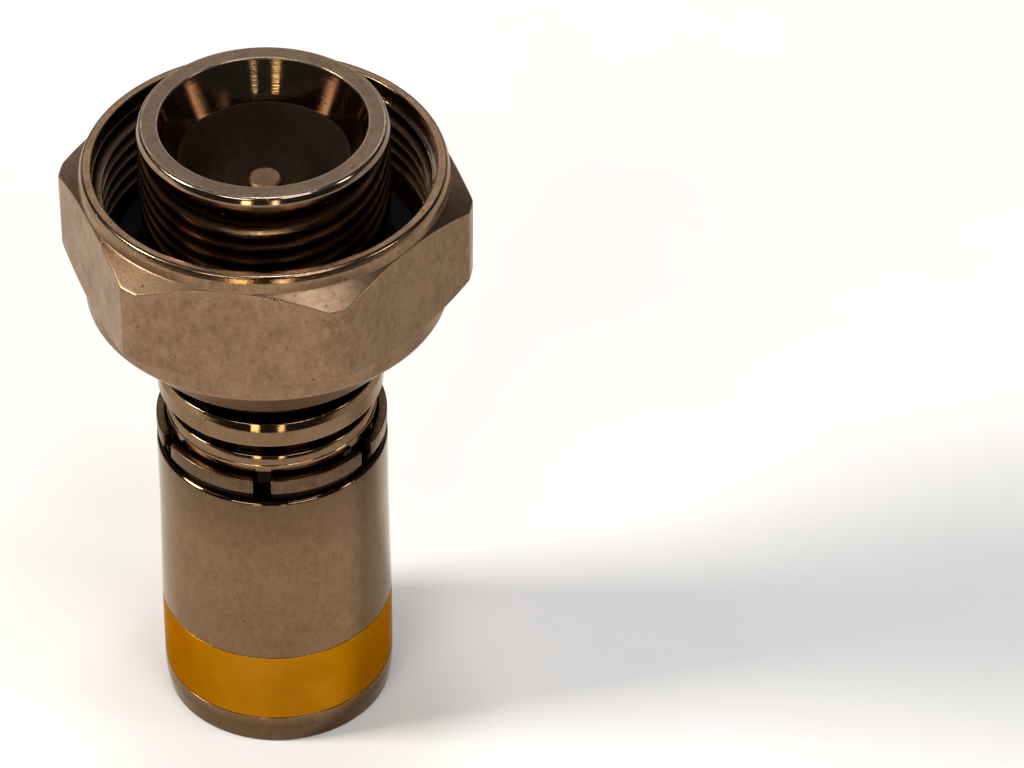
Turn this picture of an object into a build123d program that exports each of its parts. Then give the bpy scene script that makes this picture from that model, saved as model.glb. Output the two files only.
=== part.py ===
from build123d import *
import math
import os

# Compression plug for 10.5 mm coaxial cable with a captive hexagonal coupling nut.
# Millimetres. The plug stands on the cable end: +Z runs along its axis to the mating end,
# and z = 0 is the rear face of the compression sleeve.

# ---- fits -------------------------------------------------------------------------
PRESS_GAP = 0.02          # radial gap left in a pressed or bonded seat
RUN_GAP = 0.05            # radial gap of a sliding or turning fit
END_GAP = 0.05            # axial gap beside a turning face and before the sleeve's stop
SEAL_GAP = 0.02           # gap between a rubber ring and the wall that it wipes
CORD_SIDES = 8            # sides of a rubber cord's section
CORD_SEAT_RATIO = 1.3     # width of a rubber cord's groove over the cord
CUT_OVER = 1.0            # how far a cutter runs past the metal

# ---- compression sleeve and the pieces that travel with it -------------------------
CABLE_D = 10.5
ENTRY_GAP = 0.2           # radial room for the cable in the sleeve's lip
JACKET_GAP = 0.15         # radial room for the cable in the seal and the ferrule
LIP_HEIGHT = 1.05
LIP_LENGTH = 1.8
ENTRY_CHAMFER = 0.3
SLEEVE_LENGTH = 20.0
SLEEVE_WALL = 0.6
SLEEVE_EDGE = 0.15
SLEEVE_TAPER_LENGTH = 1.2
SLEEVE_TAPER_DROP = 0.15
SWELL = 0.12              # how much the cable end's radius is over the sleeve's radius
SWELL_LENGTH = 7.5        # sleeve's length above the band, over which the swell runs out

BAND_START = 2.1
BAND_WIDTH = 5.2
BAND_THICKNESS = 0.1

WASHER_THICKNESS = 0.6
SEAL_LENGTH = 3.0
SEAL_LIP = 0.3
SEAL_LIP_COUNT = 3
SEAL_LIP_SHARE = 0.8      # share of the lips' pitch that one lip's root takes

FERRULE_COLLAR = 1.3
FERRULE_NOSE = 2.9
FERRULE_ROOT_STEP = 0.45
FERRULE_NOSE_WALL = 0.25
FERRULE_SLITS = 8
FERRULE_SLIT_WIDTH = 0.5
FERRULE_SLIT_LENGTH = 2.3
NOSE_TO_TUBE = 0.4

COLLET_SKIRT_WALL = 0.3
COLLET_SEAT = 2.5
COLLET_GAP = 0.7
COLLET_HEAD = 1.05
COLLET_INSET = 0.03       # how far the head lies below the sleeve's outside
COLLET_EDGE = 0.12
SLOT_COUNT = 6
SLOT_WIDTH = 1.05
SLOT_OVERRUN = 0.3
SLOT_TURN = -2.6          # turn of the first slot from -Y, in degrees

# ---- rear body: cable tube, shoulder and groove ------------------------------------
TUBE_WALL = 0.8
TUBE_SHOW = 1.45          # bare tube between the collet and the groove at rest
TUBE_BEVEL = 0.1          # long bevel at the tube's front edge
TUBE_BEVEL_LENGTH = 0.25
RELIEF_DEPTH = 0.4        # relief behind the collet's heads, into which they can spring
RELIEF_LENGTH = 3.0
RELIEF_RISE = 0.2         # how far the relief shows above the heads
TUBE_LINE_AT = 0.62
TUBE_LINE_DEPTH = 0.06
TUBE_LINE_WIDTH = 0.12
FLARE_LENGTH = 3.0
FLARE_EDGE_WALL = 0.2
GROOVE_WIDTH = 1.2
GROOVE_DEPTH = 0.55
SHOULDER_WIDTH = 1.6
SHOULDER_RISE = 0.45
SHOULDER_EDGE = 0.08
SHOULDER_BEVEL = 0.19     # long bevel at the shoulder's front edge
SHOULDER_BEVEL_LENGTH = 0.46
BEVEL_EDGE = 0.06
RING_GROOVE_UP = 5.0
RING_CORD = 0.47
WEB_THICKNESS = 1.0
SOCKET_WALL = 0.6
SPIGOT_WALL = 0.9
SPIGOT_LENGTH = 3.3

# ---- inner post ---------------------------------------------------------------------
POST_BORE_D = 7.3
POST_WALL = 0.45
POST_OVERLAP = 3.1        # how far the post reaches into the ferrule
POST_FLANGE = 1.2
BARB_COUNT = 3
BARB_PITCH = 1.3
BARB_HEIGHT = 0.25
BARB_RAMP = 0.8
BARB_FALL = 0.12

# ---- coupling nut -------------------------------------------------------------------
NUT_TURN = 52.6           # turn of one corner from +X, in degrees
NECK_STEP = 0.3           # how far the neck lies below the cable tube
NECK_SHOW = 2.0
HUB_WALL = 0.55
HUB_POCKET_GAP = 0.3
HUB_POCKET_DEPTH = 1.3
HUB_EDGE = 0.15
NUT_WEB = 2.2
THREAD_GAP = 0.85         # from the flange's rim to the root of the nut's thread
MOUTH_RELIEF = 0.05
MOUTH_DEPTH = 1.0
CONE_LENGTH = 3.5
REAR_COLLAR = 1.2
REAR_COLLAR_WALL = 0.75
FLAT_LENGTH = 6.9
FLAT_RISE = 0.05          # height of the flats over the front collar: 22 mm across them
CORNER_RISE = 1.35        # height of the turned corners over the flats
CORNER_CHAMFER_ANGLE = 32.0
FRONT_COLLAR = 1.1
FRONT_COLLAR_WALL = 0.75
LIP_ROUND = 0.3
LIP_BREAK = 0.12
SEAL_CORD = 0.76

SLIP_THICKNESS = 0.4
SLIP_INSET = 0.2
SNAP_THICKNESS = 0.6
SNAP_WIDTH = 1.25
SNAP_SEAT = 0.4
SNAP_MOUTH = 60.0         # opening of the retaining ring, in degrees

# ---- front body: contact tube --------------------------------------------------------
RIM_RISE = 3.0            # how far the tube stands out of the nut
RIM_WALL = 1.25
RIM_EDGE = 0.2
NECK_WALL = 1.075         # from the contact bore to the outside of the neck
CONE_SPREAD = 1.125
CONE_DEPTH = 2.5
FLANGE_RISE = 1.85
FLANGE_THICKNESS = 1.6
GASKET_THICKNESS = 1.1
GASKET_INSET = 0.2
GASKET_EDGE = 0.2
GASKET_LAND = 0.25        # step of the tube's root, on which the gasket is stretched

# ---- centre contact and its insulators -------------------------------------------------
PIN_D = 2.0
PIN_SETBACK = 4.15        # from the rim down to the pin's end
PIN_EDGE = 0.12
PIN_STEP = 0.3
PIN_COLLAR_RISE = 0.75
PIN_COLLAR = 1.2
JAW_WALL = 0.6
JAW_REAR_GAP = 0.2        # from the guide's funnel to the jaws
JAW_LENGTH = 3.6
JAW_BORE_D = 1.7
JAW_BORE_DEPTH = 4.2
JAW_SLITS = 2
JAW_SLIT_WIDTH = 0.3
CLAMP_WALL = 0.27
CLAMP_LENGTH = 1.2
CLAMP_UP = 0.6
INSULATOR_THICKNESS = 2.0
INSULATOR_HOLES = 6
INSULATOR_HOLE_D = 1.3
KEEPER_THICKNESS = 0.8
KEEPER_WALL = 0.7
GUIDE_GAP = 0.04
GUIDE_FUNNEL = 0.9
GUIDE_FUNNEL_D = 5.6
GUIDE_EYE_GAP = 0.1

# ---- radii and heights that follow ---------------------------------------------------
entry_r = CABLE_D / 2 + ENTRY_GAP
jacket_r = CABLE_D / 2 + JACKET_GAP
bore_r = entry_r + LIP_HEIGHT
sleeve_r = bore_r + SLEEVE_WALL
base_r = sleeve_r + SWELL
skirt_r = bore_r + COLLET_SKIRT_WALL
head_r = sleeve_r - COLLET_INSET
tube_r = bore_r - RUN_GAP
tube_bore_r = tube_r - TUBE_WALL
shoulder_r = tube_r + SHOULDER_RISE
groove_r = tube_r - GROOVE_DEPTH
spigot_r = groove_r - SOCKET_WALL
chamber_r = spigot_r - SPIGOT_WALL
neck_r = tube_r - NECK_STEP
contact_r = neck_r - NECK_WALL
rim_bore_r = contact_r + CONE_SPREAD
rim_r = rim_bore_r + RIM_WALL
flange_r = rim_r + FLANGE_RISE
snap_r = neck_r - SNAP_SEAT + SNAP_WIDTH
pocket_r = snap_r + HUB_POCKET_GAP
hub_r = pocket_r + HUB_WALL
thread_r = flange_r + THREAD_GAP
mouth_r = thread_r + MOUTH_RELIEF
front_collar_r = mouth_r + FRONT_COLLAR_WALL
rear_collar_r = thread_r + REAR_COLLAR_WALL
flat_r = front_collar_r + FLAT_RISE
corner_r = flat_r + CORNER_RISE
pin_r = PIN_D / 2
pin_step_r = pin_r + PIN_STEP
jaw_bore_r = JAW_BORE_D / 2
jaw_r = jaw_bore_r + JAW_WALL
guide_bore_r = jaw_r + PRESS_GAP + CLAMP_WALL + GUIDE_GAP

washer_z = LIP_LENGTH
seal_z = washer_z + WASHER_THICKNESS
ferrule_z = seal_z + SEAL_LENGTH
ferrule_top = ferrule_z + FERRULE_COLLAR + FERRULE_NOSE
tube_rear = ferrule_top + NOSE_TO_TUBE
post_rear = ferrule_top - POST_OVERLAP
head_z = SLEEVE_LENGTH + COLLET_GAP
collet_top = head_z + COLLET_HEAD
tube_front = collet_top + TUBE_SHOW
shoulder_z = tube_front + GROOVE_WIDTH
neck_z = shoulder_z + SHOULDER_WIDTH
socket_z = neck_z - SPIGOT_LENGTH
web_z = socket_z - WEB_THICKNESS
hub_z = neck_z + NECK_SHOW
cone_top = hub_z + CONE_LENGTH
flats_z = cone_top + REAR_COLLAR
flats_top = flats_z + FLAT_LENGTH
mouth_z = flats_top + FRONT_COLLAR
web_rear = hub_z + HUB_POCKET_DEPTH
nut_floor = web_rear + NUT_WEB
slip_z = nut_floor + END_GAP
flange_z = slip_z + SLIP_THICKNESS
flange_top = flange_z + FLANGE_THICKNESS
snap_z = web_rear - END_GAP - SNAP_THICKNESS
rim_z = mouth_z + RIM_RISE
cone_bottom = rim_z - CONE_DEPTH
pin_top = rim_z - PIN_SETBACK
jaw_z = socket_z + GUIDE_FUNNEL + JAW_REAR_GAP
collar_z = jaw_z + JAW_LENGTH
insulator_z = collar_z + PIN_COLLAR
keeper_z = insulator_z + INSULATOR_THICKNESS
travel = shoulder_z - collet_top - END_GAP


def turned(*corners):
    """Solid of revolution about Z. A corner is (radius, z) or (radius, z, chamfer)."""
    outline = []
    count = len(corners)
    for index, corner in enumerate(corners):
        here = Vector(corner[0], 0, corner[1])
        if len(corner) == 2:
            outline.append(here)
            continue
        before = corners[index - 1]
        after = corners[(index + 1) % count]
        to_before = (Vector(before[0], 0, before[1]) - here).normalized()
        to_after = (Vector(after[0], 0, after[1]) - here).normalized()
        outline.append(here + to_before * corner[2])
        outline.append(here + to_after * corner[2])
    face = make_face(Polyline(*outline, close=True))
    return revolve(face, Axis.Z, 360)


def ring(inner, outer, low, high, chamfer=0.0):
    """Plain turned ring, its outer corners broken where a chamfer is given."""
    if chamfer:
        return turned((inner, low), (outer, low, chamfer), (outer, high, chamfer), (inner, high))
    return turned((inner, low), (outer, low), (outer, high), (inner, high))


def round_ring(centre_radius, z, cord):
    """Rubber ring of round cord, its section drawn with eight sides."""
    section = Plane.XZ * Pos(centre_radius, z) * RegularPolygon(cord / 2, CORD_SIDES)
    return revolve(section, Axis.Z, 360)


def radial_slots(count, width, low, high, reach, start=0.0):
    """Slots through the wall of a ring, spread evenly round the axis."""
    cutter = Pos(reach / 2, 0, (low + high) / 2) * Box(reach, width, high - low)
    return [Rot(0, 0, start + step * 360 / count) * cutter for step in range(count)]


def compression_sleeve():
    """Thin turned tube, slightly swollen at its lipped cable end, with a shallow seat for the band."""
    seat_r = base_r - BAND_THICKNESS - PRESS_GAP
    band_top = BAND_START + BAND_WIDTH
    return turned(
        (entry_r, 0, ENTRY_CHAMFER),
        (base_r - SLEEVE_TAPER_DROP, 0),
        (base_r, SLEEVE_TAPER_LENGTH),
        (base_r, BAND_START),
        (seat_r, BAND_START),
        (seat_r, band_top),
        (base_r, band_top),
        (sleeve_r, band_top + SWELL_LENGTH),
        (sleeve_r, SLEEVE_LENGTH, SLEEVE_EDGE),
        (skirt_r, SLEEVE_LENGTH),
        (skirt_r, SLEEVE_LENGTH - COLLET_SEAT),
        (bore_r, SLEEVE_LENGTH - COLLET_SEAT),
        (bore_r, LIP_LENGTH),
        (entry_r, LIP_LENGTH),
    )


def size_band():
    """Coloured band that marks the cable size, flush in its seat on the sleeve."""
    return ring(base_r - BAND_THICKNESS, base_r, BAND_START, BAND_START + BAND_WIDTH)


def push_washer():
    """Flat washer that carries the sleeve's push to the seal."""
    return ring(entry_r, bore_r - PRESS_GAP, washer_z, seal_z)


def cable_seal():
    """Rubber sleeve round the cable jacket, with lips inside."""
    pitch = SEAL_LENGTH / SEAL_LIP_COUNT
    half_lip = pitch * SEAL_LIP_SHARE / 2
    body = ring(jacket_r + SEAL_LIP, bore_r - PRESS_GAP, seal_z, ferrule_z)
    for index in range(SEAL_LIP_COUNT):
        middle = seal_z + pitch * (index + 0.5)
        body += turned(
            (jacket_r + SEAL_LIP, middle - half_lip),
            (jacket_r + SEAL_LIP, middle + half_lip),
            (jacket_r, middle),
        )
    return body


def grip_ferrule():
    """Plastic ring whose slit, tapered nose is driven into the flared tube to grip the jacket."""
    collar_top = ferrule_z + FERRULE_COLLAR
    body = turned(
        (jacket_r, ferrule_z),
        (bore_r - PRESS_GAP, ferrule_z),
        (bore_r - PRESS_GAP, collar_top),
        (bore_r - FERRULE_ROOT_STEP, collar_top),
        (jacket_r + FERRULE_NOSE_WALL, ferrule_top),
        (jacket_r, ferrule_top),
    )
    low = ferrule_top - FERRULE_SLIT_LENGTH
    high = ferrule_top + CUT_OVER
    for slit in radial_slots(FERRULE_SLITS, FERRULE_SLIT_WIDTH, low, high, sleeve_r):
        body -= slit
    return body


def lock_collet():
    """Slotted collet: its skirt is pressed into the sleeve and its head stands out in front."""
    body = turned(
        (bore_r, SLEEVE_LENGTH - COLLET_SEAT),
        (skirt_r - PRESS_GAP, SLEEVE_LENGTH - COLLET_SEAT),
        (skirt_r - PRESS_GAP, head_z),
        (head_r, head_z, COLLET_EDGE),
        (head_r, collet_top, COLLET_EDGE),
        (bore_r, collet_top),
    )
    low = SLEEVE_LENGTH - SLOT_OVERRUN
    high = collet_top + CUT_OVER
    for slot in radial_slots(SLOT_COUNT, SLOT_WIDTH, low, high, sleeve_r + CUT_OVER, SLOT_TURN - 90):
        body -= slot
    return body


def rear_body():
    """Cable tube with a flared mouth, a relief, a groove, a shoulder and the front body's socket."""
    line_z = tube_front - TUBE_LINE_AT
    relief_r = tube_r - RELIEF_DEPTH
    relief_top = collet_top + RELIEF_RISE
    ring_z = tube_rear + RING_GROOVE_UP
    ring_seat_r = bore_r - RING_CORD - 2 * SEAL_GAP
    ring_half = RING_CORD * CORD_SEAT_RATIO / 2
    return turned(
        (tube_r - FLARE_EDGE_WALL, tube_rear),
        (tube_r, tube_rear),
        (tube_r, ring_z - ring_half),
        (ring_seat_r, ring_z - ring_half),
        (ring_seat_r, ring_z + ring_half),
        (tube_r, ring_z + ring_half),
        (tube_r, relief_top - RELIEF_LENGTH),
        (relief_r, relief_top - RELIEF_LENGTH),
        (relief_r, relief_top),
        (tube_r, relief_top),
        (tube_r, line_z - TUBE_LINE_WIDTH),
        (tube_r - TUBE_LINE_DEPTH, line_z - TUBE_LINE_WIDTH / 2),
        (tube_r, line_z),
        (tube_r, tube_front - TUBE_BEVEL_LENGTH, BEVEL_EDGE),
        (tube_r - TUBE_BEVEL, tube_front, BEVEL_EDGE),
        (groove_r, tube_front),
        (groove_r, shoulder_z),
        (shoulder_r, shoulder_z, SHOULDER_EDGE),
        (shoulder_r, neck_z - SHOULDER_BEVEL_LENGTH, BEVEL_EDGE),
        (shoulder_r - SHOULDER_BEVEL, neck_z, BEVEL_EDGE),
        (spigot_r + PRESS_GAP, neck_z),
        (spigot_r + PRESS_GAP, socket_z),
        (chamber_r, socket_z),
        (chamber_r, web_z),
        (tube_bore_r, web_z),
        (tube_bore_r, tube_rear + FLARE_LENGTH),
    )


def sleeve_o_ring():
    """Rubber ring between the cable tube and the sleeve."""
    return round_ring(bore_r - SEAL_GAP - RING_CORD / 2, tube_rear + RING_GROOVE_UP, RING_CORD)


def inner_post():
    """Flanged tube that goes under the cable's braid, with barbs at its end."""
    inner = POST_BORE_D / 2
    outer = inner + POST_WALL
    flange_low = web_z - POST_FLANGE
    body = turned(
        (inner, post_rear),
        (outer, post_rear),
        (outer, flange_low),
        (tube_bore_r - PRESS_GAP, flange_low),
        (tube_bore_r - PRESS_GAP, web_z),
        (inner, web_z),
    )
    root = outer - POST_WALL / 2
    for index in range(BARB_COUNT):
        low = post_rear + index * BARB_PITCH
        crest = low + BARB_RAMP
        body += turned(
            (root, low),
            (outer, low),
            (outer + BARB_HEIGHT, crest),
            (outer, crest + BARB_FALL),
            (root, crest + BARB_FALL),
        )
    return body


def front_body():
    """Contact tube with a conical mouth, a flange inside the nut, a neck and a spigot."""
    snap_seat_r = neck_r - SNAP_SEAT
    return turned(
        (chamber_r, socket_z),
        (spigot_r, socket_z, RIM_EDGE),
        (spigot_r, neck_z),
        (neck_r, neck_z),
        (neck_r, snap_z),
        (snap_seat_r, snap_z),
        (snap_seat_r, snap_z + SNAP_THICKNESS),
        (neck_r, snap_z + SNAP_THICKNESS),
        (neck_r, flange_z),
        (flange_r, flange_z),
        (flange_r, flange_top),
        (rim_r + GASKET_LAND, flange_top),
        (rim_r + GASKET_LAND, flange_top + GASKET_THICKNESS),
        (rim_r, flange_top + GASKET_THICKNESS),
        (rim_r, rim_z, RIM_EDGE),
        (rim_bore_r, rim_z),
        (contact_r, cone_bottom),
        (contact_r, insulator_z),
        (chamber_r, insulator_z),
    )


def face_gasket():
    """Rubber ring on the flange, which seals against the end of the port."""
    inner = rim_r + GASKET_LAND + PRESS_GAP
    outer = flange_r - GASKET_INSET
    return ring(inner, outer, flange_top, flange_top + GASKET_THICKNESS, GASKET_EDGE)


def slip_washer():
    """Thin washer on which the nut pulls the flange forward."""
    return ring(neck_r + PRESS_GAP, flange_r - SLIP_INSET, slip_z, flange_z)


def retaining_ring():
    """Open spring ring in the neck, which holds the nut on."""
    body = ring(neck_r - SNAP_SEAT + PRESS_GAP, snap_r, snap_z, snap_z + SNAP_THICKNESS)
    reach = 2 * snap_r
    half_width = reach * math.tan(math.radians(SNAP_MOUTH / 2))
    low = snap_z - CUT_OVER
    wedge = Polyline((0, 0, low), (reach, half_width, low), (reach, -half_width, low), close=True)
    return body - extrude(make_face(wedge), SNAP_THICKNESS + 2 * CUT_OVER, dir=(0, 0, 1))


def hub_seal():
    """Rubber ring between the neck and the turning nut."""
    return round_ring(neck_r + SEAL_GAP + SEAL_CORD / 2, web_rear + NUT_WEB / 2, SEAL_CORD)


def coupling_nut():
    """Hexagonal nut: turned corners, a chamfer to each collar, a conical hub and a bored inside."""
    slope = math.tan(math.radians(CORNER_CHAMFER_ANGLE))
    front_drop = (corner_r - front_collar_r) * slope
    rear_rise = (corner_r - rear_collar_r) * slope
    seat_r = neck_r + SEAL_CORD + 2 * SEAL_GAP
    seat_half = SEAL_CORD * CORD_SEAT_RATIO / 2
    seat_z = web_rear + NUT_WEB / 2
    blank = turned(
        (neck_r + RUN_GAP, web_rear),
        (pocket_r, web_rear),
        (pocket_r, hub_z),
        (hub_r, hub_z, HUB_EDGE),
        (rear_collar_r, cone_top, HUB_EDGE),
        (rear_collar_r, flats_z),
        (corner_r, flats_z + rear_rise),
        (corner_r, flats_top - front_drop),
        (front_collar_r, flats_top),
        (front_collar_r, mouth_z, LIP_ROUND),
        (mouth_r, mouth_z, LIP_BREAK),
        (mouth_r, mouth_z - MOUTH_DEPTH),
        (thread_r, mouth_z - MOUTH_DEPTH),
        (thread_r, nut_floor),
        (neck_r + RUN_GAP, nut_floor),
        (neck_r + RUN_GAP, seat_z + seat_half),
        (seat_r, seat_z + seat_half),
        (seat_r, seat_z - seat_half),
        (neck_r + RUN_GAP, seat_z - seat_half),
    )
    hexagon = RegularPolygon(flat_r, 6, major_radius=False, rotation=NUT_TURN)
    prism = Pos(0, 0, hub_z) * extrude(hexagon, mouth_z - hub_z)
    return blank & prism


def front_insulator():
    """Insulating disc that centres the pin, lightened by a ring of holes."""
    body = ring(pin_step_r + PRESS_GAP, contact_r - PRESS_GAP, insulator_z, keeper_z)
    hole = Cylinder(INSULATOR_HOLE_D / 2, 2 * INSULATOR_THICKNESS)
    hole_place = Pos((pin_step_r + contact_r) / 2, 0, (insulator_z + keeper_z) / 2)
    for step in range(INSULATOR_HOLES):
        body -= Rot(0, 0, step * 360 / INSULATOR_HOLES) * hole_place * hole
    return body


def insulator_keeper():
    """Pressed ring that keeps the insulator in its seat."""
    outer = contact_r - PRESS_GAP
    return ring(outer - KEEPER_WALL, outer, keeper_z, keeper_z + KEEPER_THICKNESS)


def centre_pin():
    """Solid pin with a collar and slit jaws for the cable's inner conductor."""
    collar_r = jaw_r + PIN_COLLAR_RISE
    body = turned(
        (jaw_bore_r, jaw_z),
        (jaw_r, jaw_z),
        (jaw_r, collar_z),
        (collar_r, collar_z),
        (collar_r, insulator_z),
        (pin_step_r, insulator_z),
        (pin_step_r, keeper_z),
        (pin_r, keeper_z),
        (pin_r, pin_top, PIN_EDGE),
        (0, pin_top),
        (0, jaw_z + JAW_BORE_DEPTH),
        (jaw_bore_r, jaw_z + JAW_BORE_DEPTH),
    )
    slit_reach = 2 * (jaw_r + CUT_OVER)
    slit_depth = JAW_LENGTH - JAW_SLIT_WIDTH
    slit = Pos(0, 0, jaw_z) * Box(slit_reach, JAW_SLIT_WIDTH, 2 * slit_depth)
    for step in range(JAW_SLITS):
        body -= Rot(0, 0, step * 180 / JAW_SLITS) * slit
    return body


def clamp_ring():
    """Spring ring that closes the pin's jaws."""
    inner = jaw_r + PRESS_GAP
    return ring(inner, inner + CLAMP_WALL, jaw_z + CLAMP_UP, jaw_z + CLAMP_UP + CLAMP_LENGTH)


def pin_guide():
    """Insulating guide behind the pin, with a funnel that leads the conductor into its jaws."""
    return turned(
        (GUIDE_FUNNEL_D / 2, socket_z),
        (chamber_r - PRESS_GAP, socket_z),
        (chamber_r - PRESS_GAP, collar_z),
        (guide_bore_r, collar_z),
        (guide_bore_r, socket_z + GUIDE_FUNNEL),
        (jaw_bore_r + GUIDE_EYE_GAP, socket_z + GUIDE_FUNNEL),
    )


PIECES = {
    "compression_sleeve": compression_sleeve,
    "size_band": size_band,
    "push_washer": push_washer,
    "cable_seal": cable_seal,
    "grip_ferrule": grip_ferrule,
    "lock_collet": lock_collet,
    "rear_body": rear_body,
    "sleeve_o_ring": sleeve_o_ring,
    "inner_post": inner_post,
    "front_body": front_body,
    "face_gasket": face_gasket,
    "slip_washer": slip_washer,
    "retaining_ring": retaining_ring,
    "hub_seal": hub_seal,
    "coupling_nut": coupling_nut,
    "front_insulator": front_insulator,
    "insulator_keeper": insulator_keeper,
    "centre_pin": centre_pin,
    "clamp_ring": clamp_ring,
    "pin_guide": pin_guide,
}

os.makedirs("parts", exist_ok=True)
for name, build in PIECES.items():
    export_step(build(), f"parts/{name}.step")
print(f"rim height {rim_z:.2f} mm, sleeve travel {travel:.2f} mm")
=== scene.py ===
"""Compression plug for 10.5 mm coaxial cable, with a captive hexagonal coupling nut.

The sections follow the plug as it is put together, from the sleeve at the cable end to the
centre pin. Sizes are in millimetres until a mesh is made; +Z runs to the mating end."""
import math

import bmesh
import bpy
import numpy as np
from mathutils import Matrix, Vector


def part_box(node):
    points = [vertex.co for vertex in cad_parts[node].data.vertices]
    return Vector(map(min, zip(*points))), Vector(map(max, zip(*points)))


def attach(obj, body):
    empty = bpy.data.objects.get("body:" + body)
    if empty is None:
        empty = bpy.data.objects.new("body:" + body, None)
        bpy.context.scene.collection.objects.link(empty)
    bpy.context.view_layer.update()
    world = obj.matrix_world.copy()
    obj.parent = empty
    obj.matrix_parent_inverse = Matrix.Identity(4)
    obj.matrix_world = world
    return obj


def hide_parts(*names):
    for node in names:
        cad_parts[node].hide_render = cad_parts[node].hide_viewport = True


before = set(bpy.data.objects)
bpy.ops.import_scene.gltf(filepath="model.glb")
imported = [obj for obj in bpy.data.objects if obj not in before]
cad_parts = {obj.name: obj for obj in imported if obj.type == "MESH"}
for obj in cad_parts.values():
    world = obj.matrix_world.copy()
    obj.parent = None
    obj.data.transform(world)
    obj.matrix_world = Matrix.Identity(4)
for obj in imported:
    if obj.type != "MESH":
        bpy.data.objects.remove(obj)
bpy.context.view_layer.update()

# ---- Compression sleeve ---------------------------------------------------------------
# The thin tube that a tool pushes over the cable tube. Brass, turned, nickel plated and
# polished, with an inward lip at the cable end and a shallow seat for the coloured band.
MM = 0.001
ROUND_COLUMNS = 192


def extent(node):
    """Outer radius, lowest height and highest height of a round CAD node, in millimetres."""
    low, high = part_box(node)
    return high.x / MM, low.z / MM, high.z / MM


def rounded_outline(corners, wear_width=0.1, steps=5):
    """Rounds the corners (radius, height, rounding) of closed outlines, in millimetres.

    A corner C becomes the parabola (1-t)^2 A + 2t(1-t) C + t^2 B, whose ends A and B lie one
    rounding away along the two sides, or 0.4 of the shorter side where that is less. One more
    row on each side ends the worn strip, within 0.48 of that side.
    Returns points (..., rows, 2) and each row's wear, 1 on a rounding and 0 past the strip and
    on a bend of less than 37 degrees, whose cosine is 0.8."""
    corners = np.asarray(corners, float)
    here = corners[..., :2]
    back = np.roll(here, 1, -2) - here
    ahead = np.roll(here, -1, -2) - here
    back_length = np.linalg.norm(back, axis=-1, keepdims=True)
    ahead_length = np.linalg.norm(ahead, axis=-1, keepdims=True)
    reach = np.minimum(corners[..., 2:], 0.4 * np.minimum(back_length, ahead_length))
    start = (here + back / back_length * reach)[..., None, :]
    end = (here + ahead / ahead_length * reach)[..., None, :]
    flank_back = here + back / back_length * np.minimum(reach + wear_width, 0.48 * back_length)
    flank_ahead = here + ahead / ahead_length * np.minimum(reach + wear_width, 0.48 * ahead_length)
    t = np.linspace(0, 1, steps)[:, None]
    arc = (1 - t) ** 2 * start + 2 * t * (1 - t) * here[..., None, :] + t ** 2 * end
    rows = np.concatenate([flank_back[..., None, :], arc, flank_ahead[..., None, :]], -2)
    turn = np.sum(back * ahead, -1) / (back_length * ahead_length)[..., 0]
    sharp = turn.reshape(-1, corners.shape[-2])[0] > -0.8
    wear_and_painted_light = np.where(sharp[:, None], np.array([0.0] + [1.0] * steps + [0.0]), 0.0).ravel()
    return rows.reshape(*corners.shape[:-2], -1, 2), wear_and_painted_light


def round_angles(columns):
    """Evenly spread angles round the axis, in radians, without the closing one."""
    return np.arange(columns) * 2 * math.pi / columns


def ring_mesh(name, radius, height, angles, wear_and_painted_light):
    """Closed surface (r cos a, r sin a, z) over a grid of outline rows and columns round the axis.

    `radius`, `height` and `wear_and_painted_light` are grids of (rows, columns), or columns of one value a
    row.
    Both ways round the grid close up, and rows that lie on the axis are merged into a pole."""
    shape = np.broadcast_shapes(radius.shape, height.shape, angles.shape)
    radius, height, angles, wear_and_painted_light = (np.broadcast_to(a, shape) for a in (radius, height, angles, wear_and_painted_light))
    points = np.stack([radius * np.cos(angles), radius * np.sin(angles), height], -1) * MM
    number = np.arange(shape[0] * shape[1]).reshape(shape)
    right = np.roll(number, -1, 1)
    faces = np.stack([number, right, np.roll(right, -1, 0), np.roll(number, -1, 0)], -1)
    mesh = bpy.data.meshes.new(name)
    mesh.from_pydata(points.reshape(-1, 3).tolist(), [], faces.reshape(-1, 4).tolist())
    mesh.attributes.new("wear_and_painted_light", "FLOAT", "POINT").data.foreach_set("value", wear_and_painted_light.ravel())
    return finished(name, mesh)


def finished(name, mesh):
    """Merges coincident points, smooths the shading and puts the mesh into the scene."""
    work = bmesh.new()
    work.from_mesh(mesh)
    bmesh.ops.remove_doubles(work, verts=work.verts, dist=0.0005 * MM)
    work.to_mesh(mesh)
    work.free()
    mesh.shade_smooth()
    piece = bpy.data.objects.new(name, mesh)
    bpy.context.scene.collection.objects.link(piece)
    return piece


def turned(name, corners):
    """Solid of revolution whose outline has these corners (radius, height, rounding)."""
    rows, wear_and_painted_light = rounded_outline(corners)
    return ring_mesh(name, rows[:, :1], rows[:, 1:], round_angles(ROUND_COLUMNS), wear_and_painted_light[:, None])


def mark(piece, attribute, value, radius, low, high):
    """Sets a vertex attribute on what lies nearer the axis than `radius` between two heights."""
    mesh = piece.data
    points = np.empty(3 * len(mesh.vertices))
    mesh.vertices.foreach_get("co", points)
    x, y, z = points.reshape(-1, 3).T / MM
    marks = mesh.attributes.get(attribute) or mesh.attributes.new(attribute, "FLOAT", "POINT")
    values = np.empty(len(mesh.vertices))
    marks.data.foreach_get("value", values)
    values[(np.hypot(x, y) < radius) & (z > low) & (z < high)] = value
    marks.data.foreach_set("value", values)


def place(piece, body, material, slot, *nodes):
    """Gives a piece its material and its body, and lets it stand for CAD nodes. `slot` is not used."""
    piece.data.materials.append(material)
    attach(piece, body)
    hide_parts(*nodes)


def linear(code):
    """sRGB hex code to a linear RGBA colour: ((c + 0.055) / 1.055) ^ 2.4 above the linear toe."""
    parts = [int(code[i:i + 2], 16) / 255 for i in (1, 3, 5)]
    return [c / 12.92 if c <= 0.04045 else ((c + 0.055) / 1.055) ** 2.4 for c in parts] + [1.0]


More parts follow.
